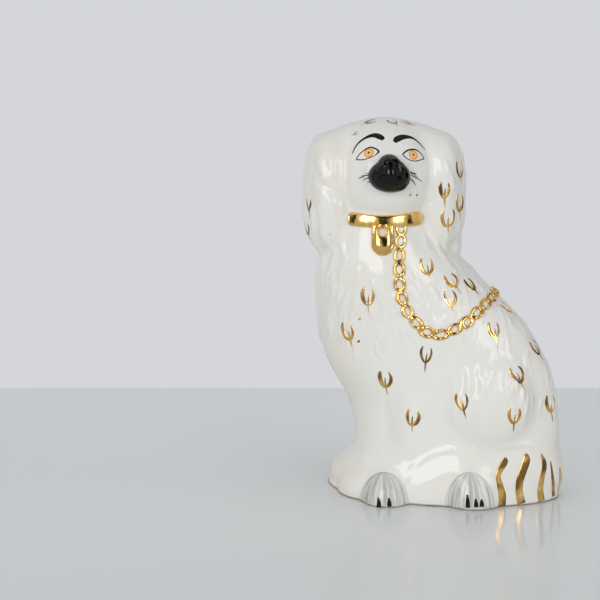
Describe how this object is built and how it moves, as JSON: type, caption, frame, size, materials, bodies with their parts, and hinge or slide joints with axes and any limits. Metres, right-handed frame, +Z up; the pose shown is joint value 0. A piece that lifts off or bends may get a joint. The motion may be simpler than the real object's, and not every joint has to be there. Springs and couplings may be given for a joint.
{
  "type": "seated spaniel mantel figure",
  "caption": "Hollow glazed earthenware figure of a seated spaniel looking sideways, with hanging ears, collar, padlock and chain in relief, on a flat base.",
  "frame": {"origin": "centre of the base on its flat underside", "axes": "+Z up, X along the base with the chest towards -X and the rump towards +X, -Y the near side that the face looks over"},
  "size_m": [0.1628, 0.0913, 0.23],
  "materials": {
    "white_glaze": "glossy off-white glaze",
    "black_enamel": "glossy black enamel",
    "gilding": "bright gilding fired on the glaze",
    "grey_wash": "streaky grey brushed wash under gloss",
    "amber_enamel": "glossy amber enamel"
  },
  "bodies": {
    "root": {"base_plate": "white_glaze", "body_front_half": "white_glaze", "body_back_half": "white_glaze", "right_ear": "white_glaze", "left_ear": "white_glaze", "tail": "white_glaze", "muzzle": "black_enamel", "collar": "gilding", "padlock": "gilding", "chain_links": "gilding", "front_paw": "grey_wash", "hind_paw": "grey_wash", "irises": "amber_enamel", "brows": "black_enamel", "claws": "black_enamel"}
  },
  "joints": []
}
